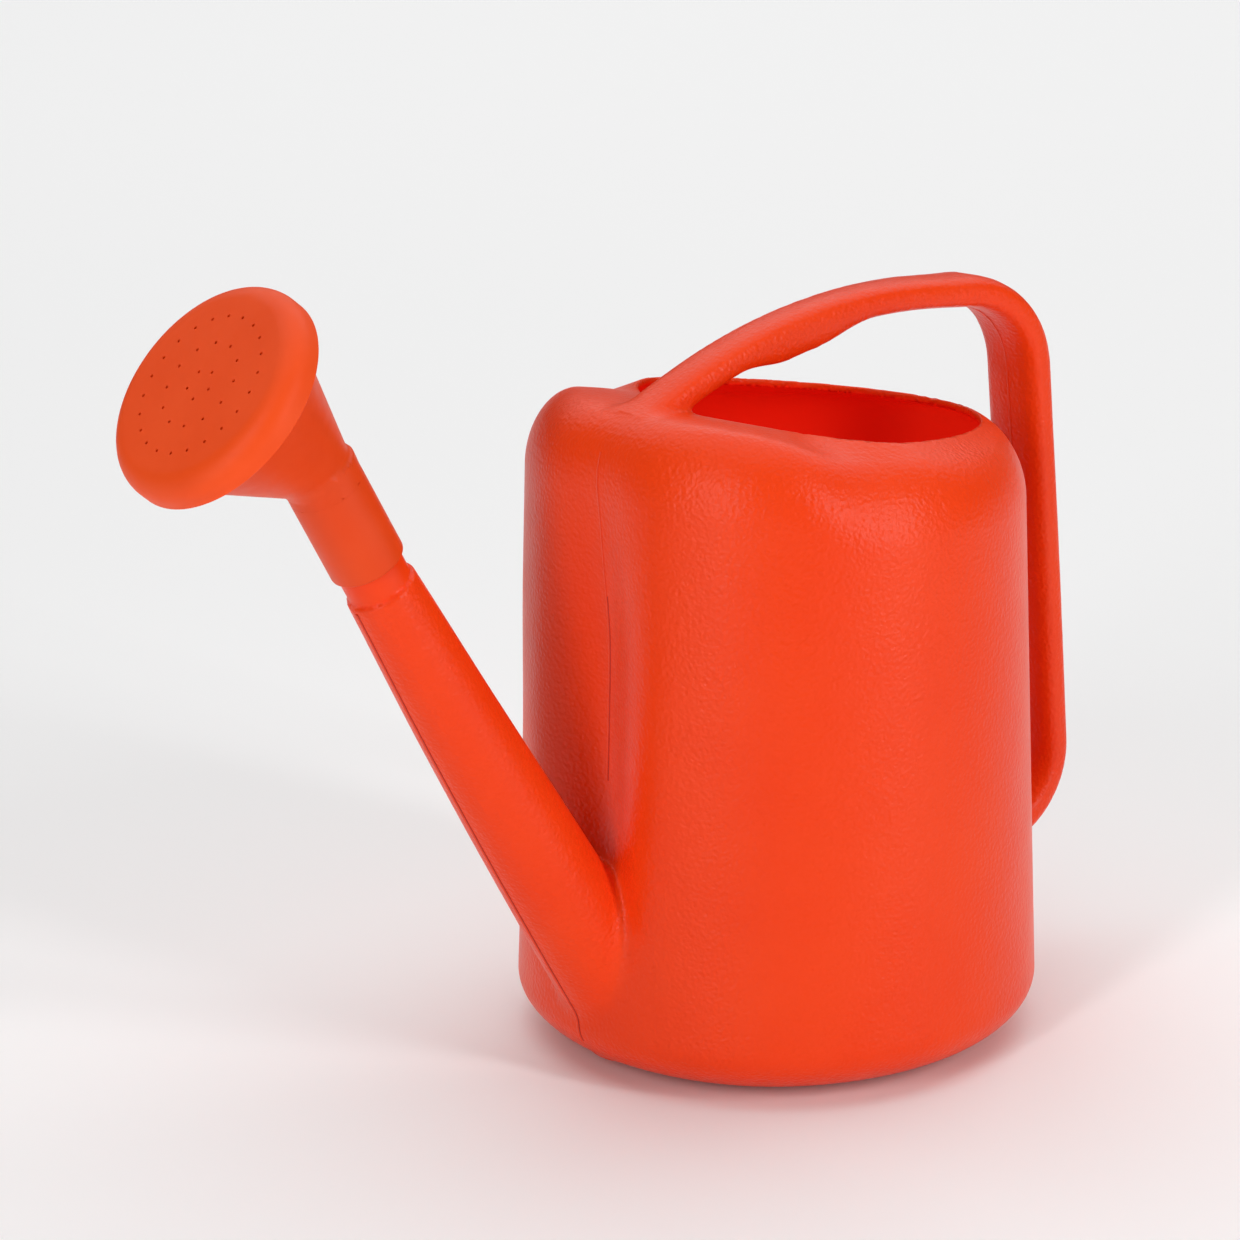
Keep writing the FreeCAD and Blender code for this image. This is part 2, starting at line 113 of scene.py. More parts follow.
# half sizes by distance along the handle from its front root
HANDLE_HALF_HEIGHT = [(0, 5.3), (60, 5.5), (140, 5.6), (195, 6.3), (240, 6.0), (430, 6.1)]
HANDLE_HALF_WIDTH = [
    (0, 9.6), (30, 8.8), (70, 8.8), (140, 10.0), (200, 13.8), (260, 14.0), (360, 12.8), (430, 11.0),
]
HANDLE_SQUARENESS = 3.0
HANDLE_FILLET = 4.0
# the fingers' belly under the grip, and the runs over which it swells and fades
BELLY = 5.0
BELLY_START = (45.0, 70.0)
BELLY_END = (82.0, 112.0)

SOCKET_START = 9.7
SOCKET_END = 40.7
SOCKET_RADIUS = 13.05
SOCKET_BORE = 11.35
SOCKET_EDGE = 0.7
# the sleeve laps the bell's stub, which is finer by a hair
SOCKET_LAP = 1.2
STUB_EASE = 0.03
ELBOW_HEIGHT = 45.6
ROSE_ANGLE = 40.1
ROSE_DEPTH = 59.5
ROSE_WALL = 1.8
# how far the stub, the cone and the bore run into one another
STUB_OVERRUN = 4.0
CONE_OVERRUN = 6.0
BORE_OVERRUN = 5.0
CONE_RADIUS = 10.5
CONE_END_RADIUS = 32.6
# the cone's root sits a little above the rose's axis
CONE_LEAN = 2.2
ELBOW_FILLET = 3.0
# height up the neck by which the elbow's fillet is full
FILLET_FULL = SOCKET_END + 6.0
LEAST_FILLET = 0.01
LIP_RADIUS = 36.9
LIP_REACH = 4.4
CAP_RADIUS = 39.0
CAP_FLAT = 31.5
CAP_DEPTH = 11.5
CAP_WALL = 1.8
CAP_EDGE = 0.5
# radius of the pinhole at the middle of a turned disc, too small to see
CAP_CORE = 0.01
HOLE_RADIUS = 0.6
# spray rings: radius, count and turn of the first hole from the face's top
SPRAY_RINGS = [(5.4, 5, -26.5), (15.2, 12, -14.3), (25.0, 22, -3.4)]

# the parting line: heights and runs it covers, the spacing of its spots, and the ends it stays clear of
GROOVE_SEAM_X = -86.0
GROOVE_SEAM = (108.0, 230.0)
# height below which a dark line of painted shade runs beside the groove's bead
PAINTED_SHADE_TOP = 176.0
UNDER_SEAM = (2.0, 201.0)
INNER_SEAM_START = 160.0
INNER_SEAM_OUT = -8.0
REAR_SEAM = (60.0, 200.0)
SEAM_SPACING = 2.0
SEAM_CLEAR = 14.0


# ---------------------------------------------------------------- shape maths

def smooth_curve(knots):
    """A curve through (x, y) knots that never overshoots them and is level at its ends."""
    x, y = np.array(knots, float).T
    step = np.diff(x)
    slope = np.diff(y) / step
    product = slope[1:] * slope[:-1]
    total = np.where(product > 0, slope[1:] + slope[:-1], 1.0)
    tangent = np.zeros_like(y)
    tangent[1:-1] = np.where(product > 0, 2 * product / total, 0.0)
    at = np.linspace(x[0], x[-1], 1000)
    cell = np.clip(np.searchsorted(x, at) - 1, 0, len(step) - 1)
    u = (at - x[cell]) / step[cell]
    table = (
        y[cell] * (1 + 2 * u) * (1 - u) ** 2
        + y[cell + 1] * u**2 * (3 - 2 * u)
        + tangent[cell] * step[cell] * u * (1 - u) ** 2
        - tangent[cell + 1] * step[cell] * u**2 * (1 - u)
    )
    return lambda value: np.interp(value, at, table)


def smooth_step(value, low, high):
    u = np.clip((value - low) / (high - low), 0, 1)
    return u * u * (3 - 2 * u)


def join(a, b, fillet):
    """Union of two distance fields with a fillet."""
    reach = np.maximum(fillet - np.abs(a - b), 0) / fillet
    return np.minimum(a, b) - reach * reach * fillet / 4


def meet(a, b, edge):
    """Intersection of two distance fields with a rounded edge."""
    return -join(-a, -b, edge)


def rounded_corner(past_side, below_level, across, down):
    """Distance to a side and a level that meet in a quarter ellipse, across by down.

    past_side is the distance beyond the side, below_level the depth under the level.
    """
    tiny = 1e-9
    out = np.maximum(past_side + across, 0)
    up = np.maximum(down - below_level, 0)
    near = np.sqrt((out / across) ** 2 + (up / down) ** 2)
    steep = np.sqrt((out / across**2) ** 2 + (up / down**2) ** 2)
    inside = steep < tiny
    curved = near * (near - 1) / np.where(inside, 1, steep)
    return np.where(inside, np.maximum(past_side, -below_level), curved)


def squared_oval(u, v, half_u, half_v, power):
    """Distance to an oval whose corners fill out as power grows past 2."""
    tiny = 1e-6
    a = np.abs(u) / half_u + tiny
    b = np.abs(v) / half_v + tiny
    reach = (a**power + b**power) ** (1 / power)
    steep = reach ** (1 - power) * np.hypot(a ** (power - 1) / half_u, b ** (power - 1) / half_v)
    return (reach - 1) / np.maximum(steep, tiny)


groove_depth = smooth_curve(GROOVE_DEPTH)
lobe_swell = smooth_curve(LOBE_SWELL)
brow_across = smooth_curve(BROW_ACROSS)
land_rise = smooth_curve(LAND_RISE)


# ---------------------------------------------------------------- tank

def mouth(x, y):
    """Distance outside the mouth's outline, and the outline's x nearest to each point."""
    tiny = 1e-6
    u = x - MOUTH_CENTRE
    rear = u > 0
    reach = np.where(rear, MOUTH_REAR, MOUTH_FRONT)
    power = np.where(rear, MOUTH_REAR_POINT, MOUTH_FRONT_POINT)
    a = np.abs(u) / reach + tiny
    b = np.abs(y) / MOUTH_HALF_WIDTH + tiny
    scale = (a**power + b**power) ** (1 / power)
    slope_x = scale ** (1 - power) * a ** (power - 1) / reach * np.sign(u)
    slope_y = scale ** (1 - power) * b ** (power - 1) / MOUTH_HALF_WIDTH
    steep = np.maximum(np.hypot(slope_x, slope_y), tiny)
    outside = (scale - 1) / steep
    return outside, x - outside * slope_x / steep


def wall_radius(x, y, z):
    """The tank's radius: a slight draft, and a soft groove down the front between two lobes."""
    angle = np.degrees(np.arctan2(np.abs(y), -x))
    bump = np.cos(np.radians(90 * np.minimum(angle / GROOVE_ANGLE, 1))) ** GROOVE_SHARPNESS
    lobe = np.cos(np.radians(90 * np.minimum(np.abs(angle - LOBE_ANGLE) / LOBE_SPREAD, 1))) ** 2
    return TANK_RADIUS - TANK_DRAFT * z - groove_depth(z) * bump + lobe_swell(z) * lobe, angle


def tank(x, y, z, wall=0.0, land_wall=0.0):
    """The tank's outer form, or its cavity when given the walls."""
    radius, angle = wall_radius(x, y, z)
    past_side = np.hypot(x, y) - radius + wall
    beyond_rim, rim_x = mouth(x, y)
    rise = land_rise(angle)
    land = np.maximum(beyond_rim, 0)
    crested = smooth_step(rise, *CREST_BLEND)
    land += crested * (CREST_REACH * np.tanh(land / CREST_REACH) - land)
    level = RIM_LEVEL - RIM_SLOPE * rim_x + rise * land
    land_width = np.maximum(beyond_rim - past_side, LEAST_LAND)
    widest = brow_across(angle)
    across = widest * np.tanh(BROW_SHARE * land_width / widest)
    down = across * BROW_DROP
    across = np.maximum(across - wall, LEAST_ROUNDING)
    down = np.maximum(down - wall, LEAST_ROUNDING)
    brow = rounded_corner(past_side, level - land_wall - z, across, down)
    foot = rounded_corner(past_side, z - wall, FOOT_ROUNDING[0] - wall, FOOT_ROUNDING[1] - wall)
    return np.maximum(brow, foot)


# ---------------------------------------------------------------- spout and neck

def along_axis(x, y, z, angle):
    """Distance up an axis from the shoulder, away from the axis, and above it in the plane of symmetry."""
    rise = math.radians(angle)
    dx = x - SHOULDER[0]
    dz = z - SHOULDER[1]
    up = -dx * math.cos(rise) + dz * math.sin(rise)
    off = dx * math.sin(rise) + dz * math.cos(rise)
    return up, np.hypot(off, y), off


def spout(x, y, z, wall=0.0, length=SPOUT_LENGTH):
    """The tapered spout, or its bore when given a wall."""
    up, _, off = along_axis(x, y, z, SPOUT_ANGLE)
    run = np.clip(-up / SPOUT_LENGTH, 0, 1)
    off = off + SPOUT_SAG * smooth_step(run, 0, SAG_SHARE)
    radial = np.hypot(off, y)
    under = (1 - off / np.maximum(radial, 1)) / 2
    radius = SPOUT_RADIUS + SPOUT_GROWTH * np.maximum(-up, 0) - wall
    radius += SPOUT_BOW * under * np.sin(math.pi * run)
    return meet(radial - radius, np.maximum(up, -up - length), SPOUT_EDGE)


def neck(x, y, z, radius, low, high, edge):
    up, radial, _ = along_axis(x, y, z, NECK_ANGLE)
    return meet(radial - radius, np.maximum(up - high, low - up), edge)


# ---------------------------------------------------------------- handle

def handle_pieces():
    """The centre line's straights and bends, each as (kind, place, direction, start, length).

    A line has its first point and its direction, an arc its centre and the spoke to its first point.
    """
    corners = [np.array(corner) for corner in HANDLE_CORNERS]
    pieces = []
    start = corners[0]
    travelled = 0.0
    for before, corner, after, bend in zip(corners, corners[1:], corners[2:], HANDLE_BENDS):
        into = (corner - before) / np.linalg.norm(corner - before)
        out = (after - corner) / np.linalg.norm(after - corner)
        turn = math.acos(float(into @ out))
        trim = bend * math.tan(turn / 2)
        touch = corner - into * trim
        length = float(np.linalg.norm(touch - start))
        pieces.append(("line", start, into, travelled, length))
        travelled += length
        centre = touch + bend * np.array([into[1], -into[0]])
        pieces.append(("arc", centre, touch - centre, travelled, bend * turn))
        travelled += bend * turn
        start = corner + out * trim
    length = float(np.linalg.norm(corners[-1] - start))
    pieces.append(("line", start, out, travelled, length))
    return pieces


HANDLE = handle_pieces()
HANDLE_LENGTH = HANDLE[-1][3] + HANDLE[-1][4]
handle_half_height = smooth_curve(HANDLE_HALF_HEIGHT)
handle_half_width = smooth_curve(HANDLE_HALF_WIDTH)


# a straight or bend counts as this much further away for each step beyond its end
PAST_END = 10


def along_handle(x, z):
    """Distance along the handle's centre line, and outwards from it."""
    best = np.full(np.shape(x), np.inf)
    run = np.zeros(np.shape(x))
    out = np.zeros(np.shape(x))
    last = len(HANDLE) - 1
    for index, (kind, place, direction, start, length) in enumerate(HANDLE):
        dx = x - place[0]
        dz = z - place[1]
        if kind == "line":
            distance = dx * direction[0] + dz * direction[1]
            outwards = -dx * direction[1] + dz * direction[0]
        else:
            bend = np.hypot(*direction)
            cross = dx * direction[1] - dz * direction[0]
            dot = dx * direction[0] + dz * direction[1]
            distance = np.arctan2(cross, dot) * bend
            outwards = np.hypot(dx, dz) - bend
        before = -distance if index > 0 else 0
        beyond = distance - length if index < last else 0
        away = np.abs(outwards) + PAST_END * np.maximum(np.maximum(before, beyond), 0)
        nearer = away < best
        best = np.where(nearer, away, best)
        run = np.where(nearer, start + distance, run)
        out = np.where(nearer, outwards, out)
    return run, out


def handle(x, y, z):
    """A flattened tube along the centre line, with a belly for the fingers under the grip."""
    run, out = along_handle(x, z)
    belly = BELLY * smooth_step(run, *BELLY_START) * (1 - smooth_step(run, *BELLY_END))
    half_height = handle_half_height(run) + belly * (out < 0)
    tube = squared_oval(out, y, half_height, handle_half_width(run), HANDLE_SQUARENESS)
    return np.maximum(tube, np.maximum(-run, run - HANDLE_LENGTH))


# ---------------------------------------------------------------- whole mouldings

def can_hollow(x, y, z):
    """The closed room inside the can, and the same with the mouth open above it."""
    inside = tank(x, y, z, WALL, LAND_WALL)
    bore = spout(x, y, z, SPOUT_WALL, BORE_LENGTH)
    outlet = neck(x, y, z, NECK_BORE, -SPOUT_WALL * 2, NECK_LENGTH + 1, BORE_EDGE)
    room = np.minimum(inside, np.minimum(bore, outlet))
    opening = np.maximum(mouth(x, y)[0], SHOULDER[1] - z)
    return room, np.minimum(room, opening)


def can(x, y, z):
    """The whole blown skin: tank, spout and neck hollowed out, with the handle over the mouth."""
    room, hollow = can_hollow(x, y, z)
    fillet = FOOT_FILLET + (ROOT_FILLET - FOOT_FILLET) * smooth_step(z, *FILLET_FADE)
    body = join(tank(x, y, z), spout(x, y, z), fillet)
    body = join(body, neck(x, y, z, NECK_RADIUS, -SPOUT_WALL, NECK_LENGTH, NECK_EDGE), NECK_FILLET)
    shell = meet(body, -hollow, RIM_EDGE)
    return join(shell, np.maximum(handle(x, y, z), -room), HANDLE_FILLET)


def bell_form(x, y, z, inset, low):
    """The rose's stub, cone and the flange inside its cap; the low end is cut square to the neck."""
    up, radial, _ = along_axis(x, y, z, NECK_ANGLE)
    stub = np.maximum(radial - SOCKET_RADIUS + STUB_EASE + inset, up - ELBOW_HEIGHT - STUB_OVERRUN)
    rise = math.radians(ROSE_ANGLE)
    neck_rise = math.radians(NECK_ANGLE)
    dx = x - SHOULDER[0] + ELBOW_HEIGHT * math.cos(neck_rise)
    dz = z - SHOULDER[1] - ELBOW_HEIGHT * math.sin(neck_rise)
    out = -dx * math.cos(rise) + dz * math.sin(rise)
    lip = ROSE_DEPTH - CAP_DEPTH
    lean = CONE_LEAN * (1 - np.clip(out / lip, 0, 1))
    off = dx * math.sin(rise) + dz * math.cos(rise)
    growth = (CONE_END_RADIUS - CONE_RADIUS) / lip
    cone_radius = CONE_RADIUS + growth * out - inset
    cone = (np.hypot(off - lean, y) - cone_radius) / math.hypot(1, growth)
    cone = np.maximum(cone, np.maximum(-out - CONE_OVERRUN, out - lip - LIP_REACH))
    flange = np.maximum(np.hypot(off, y) - LIP_RADIUS + inset, lip + inset - out)
    fillet = LEAST_FILLET + ELBOW_FILLET * smooth_step(up, SOCKET_END + SOCKET_LAP, FILLET_FULL)
    form = np.minimum(join(stub, cone, fillet), np.maximum(flange, out - lip - LIP_REACH))
    return np.maximum(form, low - up)


def bell(x, y, z):
    """The rose's bell as a shell."""
    outer = bell_form(x, y, z, 0.0, SOCKET_END)
    inner = bell_form(x, y, z, ROSE_WALL, SOCKET_END - BORE_OVERRUN)
    return np.maximum(outer, -inner)


# ---------------------------------------------------------------- meshes

# grid steps, and how many steps either side of a surface its field is kept for
CAN_STEP = 1.2
BELL_STEP = 0.9
FIELD_BAND = 3.0
# the boxes the two fields are sampled in, from Y = 0 outwards
CAN_BOX = ((-202.0, 0.0, -3.0), (146.0, 98.0, 280.0))
BELL_BOX = ((-266.0, 0.0, 225.0), (-180.0, 40.0, 305.0))
# how far flat areas may be thinned to fewer faces, from 0 to 1
THINNING = 0.05
NORMAL_REACH = 0.15
LEAST_SLOPE = 0.1
TINY = 1e-9


def sampled(field, low, high, step):
    """The field on a grid that mirrors about Y = 0, in steps, with the grid's lowest corner."""
    xs = np.arange(low[0], high[0] + step, step)
    ys = np.arange(step / 2, high[1] + step, step)
    zs = np.arange(low[2], high[2] + step, step)
    y, z = np.meshgrid(ys, zs, indexing="ij")
    half = np.empty((len(xs), len(ys), len(zs)), np.float32)
    for index, x in enumerate(xs):
        half[index] = np.clip(field(np.full_like(y, x), y, z) / step, -FIELD_BAND, FIELD_BAND)
    whole = np.concatenate([half[:, ::-1], half], axis=1)
    return whole, np.array([xs[0], -ys[-1], zs[0]])


def gradient(field, points, reach=0.05):
    """The field's slope at each point."""
    slope = np.empty_like(points)
    for axis in range(3):
        shift = np.zeros(3)
        shift[axis] = reach
        ahead = field(*(points + shift).T)
        behind = field(*(points - shift).T)
        slope[:, axis] = (ahead - behind) / (2 * reach)
    return slope


def settle(field, points, most, rounds=4):
    """Move the points onto the field's surface, by no more than most in each round."""
    for _ in range(rounds):
        slope = gradient(field, points)
        steep = np.maximum((slope**2).sum(axis=1), LEAST_SLOPE)
        move = -slope * (field(*points.T) / steep)[:, None]
        size = np.linalg.norm(move, axis=1, keepdims=True)
        points = points + move * np.minimum(1, most / np.maximum(size, TINY))
    return points


def add_piece(name, mesh, body, slot, *nodes):
    """Put a mesh in the scene, riding on a body and standing for its CAD nodes."""
    piece = bpy.data.objects.new(name, mesh)
    bpy.context.scene.collection.objects.link(piece)
    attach(piece, body)
    if nodes:
        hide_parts(*nodes)


def field_mesh(name, field, low, high, step):
    """A closed mesh of the field's surface, its points and normals taken from the field itself."""
    values, corner = sampled(field, low, high, step)
    grid = openvdb.FloatGrid(FIELD_BAND)
    grid.copyFromArray(values)
    points, triangles, quads = grid.convertToPolygons(isovalue=0.0, adaptivity=THINNING)
    points = settle(field, corner + points.astype(float) * step, step / 2)
    normals = gradient(field, points, NORMAL_REACH)
    normals /= np.maximum(np.linalg.norm(normals, axis=1, keepdims=True), TINY)
    first = points[quads[:, :3]]
    facing = np.cross(first[:, 1] - first[:, 0], first[:, 2] - first[:, 1])
    if (facing * normals[quads[:, 0]]).sum() < 0:
        triangles = triangles[:, ::-1]
        quads = quads[:, ::-1]
    mesh = bpy.data.meshes.new(name)
    mesh.from_pydata((points * MM).tolist(), [], triangles.tolist() + quads.tolist())
    mesh.polygons.foreach_set("use_smooth", np.ones(len(mesh.polygons), bool))
    mesh.normals_split_custom_set_from_vertices(normals.tolist())
    return mesh, points


def turned(name, outline, place, axis, top, segments=96):
    """A ring or cup: an outline of (radius, height) corners turned about an axis.

    place is the axis's origin in metres; top is the direction of the first corner's column.
    """
    up = Vector(axis)
    side = Vector(top)
    matrix = Matrix((side, up.cross(side), up)).transposed().to_4x4()
    matrix.translation = place
    vertices = []
    for segment in range(segments):
        angle = 2 * math.pi * segment / segments
        for radius, height in outline:
            spot = Vector((radius * math.cos(angle), radius * math.sin(angle), height)) * MM
            vertices.append(matrix @ spot)
    count = len(outline)
    faces = []
    for segment in range(segments):
        following = (segment + 1) % segments
        for corner in range(count):
            after = (corner + 1) % count
            faces.append((
                segment * count + corner, following * count + corner,
                following * count + after, segment * count + after,
            ))
    mesh = bpy.data.meshes.new(name)
    mesh.from_pydata(vertices, [], faces)
    return mesh, matrix


def arc_points(centre, radius, start, end, count):
    """Points along an arc in an outline, in degrees."""
    angles = np.radians(np.linspace(start, end, count))
    return [(centre[0] + radius * math.cos(a), centre[1] + radius * math.sin(a)) for a in angles]


# ---------------------------------------------------------------- materials

CAN_COLOUR = (0.83, 0.045, 0.003)
CAN_PALE = (0.85, 0.053, 0.005)
# the inner face's deeper red is painted light: it stands in for light bouncing inside the can, and it also
# colours the painted glow
INSIDE_PAINTED_RED = (0.95, 0.022, 0.006)
SPECULAR = 0.2
# painted glow: the inner face emits light, standing in for light coming through the thin wall, seen only
# from inside
INSIDE_PAINTED_GLOW = 0.075
# painted shade: the dark line laid beside the parting line's bead, where its crevice is in shade
SEAM_PAINTED_SHADE = (0.50, 0.018, 0.004)
ROSE_COLOUR = (0.74, 0.057, 0.005)
ROSE_PALE = (0.76, 0.066, 0.009)
FACE_COLOUR = (0.82, 0.068, 0.005)
FACE_PALE = (0.85, 0.076, 0.008)
FLOOR_COLOUR = (0.94, 0.94, 0.94)
PLASTIC_IOR = 1.5
# roughness where the gloss is highest and lowest
CAN_ROUGHNESS = (0.31, 0.38)
ROSE_ROUGHNESS = (0.39, 0.47)
FACE_ROUGHNESS = (0.47, 0.55)
# pebbles and wrinkles to a metre, and the grain's depth in metres
PEBBLE_SCALE = 620.0
WRINKLE_SCALE = 900.0
GRAIN_STRENGTH = 0.5
GRAIN_DEPTH = 0.0004
# the middle of a noise's range, over which clouds and gloss change
CLOUD_SPAN = (0.35, 0.65)
GLOSS_SPAN = (0.3, 0.7)
SEAM_SHADE = 0.96


def opaque(colour):
    return (*colour, 1.0)


class Nodes:
    """A short way to write a node tree."""

    def __init__(self, name):
        self.material = bpy.data.materials.new(name)
        self.material.use_nodes = True
        self.tree = self.material.node_tree
        self.shader = self.tree.nodes["Principled BSDF"]

    def add(self, kind, **settings):
        node = self.tree.nodes.new(kind)
        for key, setting in settings.items():
            setattr(node, key, setting)
        return node

    def plug(self, socket, given):
        """Link a socket, or set any other value."""
        if isinstance(given, bpy.types.NodeSocket):
            self.tree.links.new(given, socket)
        else:
            socket.default_value = given

    def feed(self, node, **inputs):
        """Plug inputs by name, with underscores for spaces."""
        for key, given in inputs.items():
            self.plug(node.inputs[key.replace("_", " ")], given)

    def place(self):
        """Coordinates fixed to the piece, in metres."""
        return self.add("ShaderNodeTexCoord").outputs["Object"]

    def noise(self, scale, detail=2.0):
        node = self.add("ShaderNodeTexNoise")
        self.feed(node, Vector=self.place(), Scale=scale, Detail=detail)
        return node.outputs["Fac"]

    def span(self, source, low, high, to_low=0.0, to_high=1.0):
        """Stretch a source's range from low to high over another, and clamp it there."""
        node = self.add("ShaderNodeMapRange")
        self.feed(node, Value=source, From_Min=low, From_Max=high, To_Min=to_low, To_Max=to_high)
        return node.outputs["Result"]

    def math(self, operation, first, second):
        node = self.add("ShaderNodeMath", operation=operation)
        self.plug(node.inputs[0], first)
        self.plug(node.inputs[1], second)
        return node.outputs["Value"]

    def mix(self, share, first, second):
        """Mix two colours; the mix node's colours are sockets 6 and 7 and its result output 2."""
        node = self.add("ShaderNodeMix", data_type="RGBA")
        self.plug(node.inputs["Factor"], share)
        self.plug(node.inputs[6], first)
        self.plug(node.inputs[7], second)
        return node.outputs[2]

    def bump(self, height, strength, distance):
        node = self.add("ShaderNodeBump")
        self.feed(node, Height=height, Strength=strength, Distance=distance)
        return node.outputs["Normal"]

    def clouds(self, scale, detail, first, second):
        """Two colours in soft clouds."""
        return self.mix(self.span(self.noise(scale, detail), *CLOUD_SPAN), first, second)

    def set_gloss(self, specular):
        self.shader.inputs["IOR"].default_value = PLASTIC_IOR
        self.shader.inputs["Specular IOR Level"].default_value = specular


def can_material():
    """Blown polyethylene: a fine pebbled skin outside; smooth inside, with a deeper red and a glow painted
    in for light bouncing inside the can and shining through the wall.
    """
    nodes = Nodes("can_plastic")
    skin = nodes.add("ShaderNodeAttribute", attribute_name="skin").outputs["Fac"]
    pebbled = nodes.add("ShaderNodeAttribute", attribute_name="grain").outputs["Fac"]
    outside = nodes.clouds(18.0, 3.0, opaque(CAN_COLOUR), opaque(CAN_PALE))
    colour = nodes.mix(skin, opaque(INSIDE_PAINTED_RED), outside)
    pebbles = nodes.add("ShaderNodeTexVoronoi", feature="SMOOTH_F1")
    nodes.feed(pebbles, Vector=nodes.place(), Scale=PEBBLE_SCALE, Smoothness=0.6)
    grain = nodes.math("ADD", pebbles.outputs["Distance"], nodes.noise(WRINKLE_SCALE))
    grain = nodes.math("MULTIPLY", grain, pebbled)
    normal = nodes.bump(grain, GRAIN_STRENGTH, GRAIN_DEPTH)
    roughness = nodes.span(nodes.noise(45.0, 4.0), *GLOSS_SPAN, *CAN_ROUGHNESS)
    # painted glow on the inner face, standing in for light coming through the wall
    painted_glow = nodes.math("MULTIPLY", nodes.math("SUBTRACT", 1.0, skin), INSIDE_PAINTED_GLOW)
    nodes.feed(nodes.shader, Base_Color=colour, Roughness=roughness, Normal=normal, Emission_Strength=painted_glow)
    nodes.shader.inputs["Emission Color"].default_value = opaque(INSIDE_PAINTED_RED)
    nodes.set_gloss(SPECULAR)
    return nodes.material


def rose_material(name, colour, pale, roughness):
    """Smooth moulded plastic with faint clouding."""
    nodes = Nodes(name)
    shade = nodes.clouds(40.0, 4.0, opaque(colour), opaque(pale))
    gloss = nodes.span(nodes.noise(220.0, 3.0), *GLOSS_SPAN, *roughness)
    normal = nodes.bump(nodes.noise(700.0), 0.08, 0.0002)
    nodes.feed(nodes.shader, Base_Color=shade, Roughness=gloss, Normal=normal)
    nodes.set_gloss(SPECULAR)
    return nodes.material


def seam_material(name, colour, roughness):
    """One colour, a touch darker in patches."""
    nodes = Nodes(name)
    tint = nodes.span(nodes.noise(60.0), *GLOSS_SPAN)
    darker = tuple(SEAM_SHADE * part for part in colour)
    nodes.feed(nodes.shader, Base_Color=nodes.mix(tint, opaque(darker), opaque(colour)))
    nodes.shader.inputs["Roughness"].default_value = roughness
    return nodes.material


def paper_material():
    """Flat pale paper with the faintest tooth."""
    nodes = Nodes("floor_paper")
    nodes.feed(nodes.shader, Normal=nodes.bump(nodes.noise(300.0), 0.02, 0.0002))
    nodes.shader.inputs["Base Color"].default_value = opaque(FLOOR_COLOUR)
    nodes.shader.inputs["Roughness"].default_value = 0.9
    return nodes.material


# ---------------------------------------------------------------- pieces

CAN_NODES = (
    "tank_base", "tank_wall", "tank_shoulder", "spout", "spout_neck", "handle_grip", "handle_post",
)
# distances over which the skin changes: out from the room inside, out from the handle, up the neck
SKIN_DEPTH = (0.3, 1.3)
HANDLE_FADE = (0.2, 2.0)
NECK_FADE = (-0.5, 1.5)
NECK_MARGIN = 1.5


def build_can():
    """The whole blown moulding in one mesh.

    Its skin attribute is 1 outside and 0 on the inner face, and grain is 1 where the skin is pebbled.
    """
    mesh, points = field_mesh("can", can, *CAN_BOX, CAN_STEP)
    x, y, z = points.T
    skin = smooth_step(can_hollow(x, y, z)[0], *SKIN_DEPTH)
    skin = np.maximum(skin, 1 - smooth_step(handle(x, y, z), *HANDLE_FADE))
    up, radial, _ = along_axis(x, y, z, NECK_ANGLE)
    on_neck = smooth_step(up, *NECK_FADE) * (radial < NECK_RADIUS + NECK_MARGIN)
    for name, values in (("skin", skin), ("grain", skin * (1 - on_neck))):
        attribute = mesh.attributes.new(name, "FLOAT", "POINT")
        attribute.data.foreach_set("value", values.astype(np.float32))
    mesh.materials.append(can_material())
    add_piece("can", mesh, "can", "can", *CAN_NODES)


def seam(name, spots, radius, material, sideways=0.0):
    """A fine bead on the can's skin through (x, z) spots, beside the plane of symmetry."""
    x, z = np.array(spots).T
    points = settle(can, np.stack([x, np.full_like(x, sideways), z], axis=1), 2.0, 12)
    data = bpy.data.curves.new(name, "CURVE")
    data.dimensions = "3D"
    data.bevel_depth = radius * MM
    data.bevel_resolution = 2
    data.use_fill_caps = True
    spline = data.splines.new("POLY")
    spline.points.add(len(points) - 1)
    for point, spot in zip(spline.points, points * MM):
        point.co = (*spot, 1.0)
    data.materials.append(material)
    piece = bpy.data.objects.new(name, data)
    bpy.context.scene.collection.objects.link(piece)
    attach(piece, "can")


def handle_spot(run, out):
    """The (x, z) spot at a distance along the handle's centre line and outwards from it."""
    for kind, place, direction, start, length in HANDLE:
        if run <= start + length or start + length >= HANDLE_LENGTH:
            break
    if kind == "line":
        ahead = place + direction * (run - start)
        return tuple(ahead + out * np.array([-direction[1], direction[0]]))
    bend = np.hypot(*direction)
    turn = (run - start) / bend
    spoke = direction / bend
    swung = np.array([
        spoke[0] * math.cos(turn) + spoke[1] * math.sin(turn),
        spoke[1] * math.cos(turn) - spoke[0] * math.sin(turn),
    ])
    return tuple(place + swung * (bend + out))


def spout_spot(run, out):
    """The (x, z) spot at a distance down the spout from its shoulder and out from its axis."""
    rise = math.radians(SPOUT_ANGLE)
    x = SHOULDER[0] + run * math.cos(rise) + out * math.sin(rise)
    return x, SHOULDER[1] - run * math.sin(rise) + out * math.cos(rise)


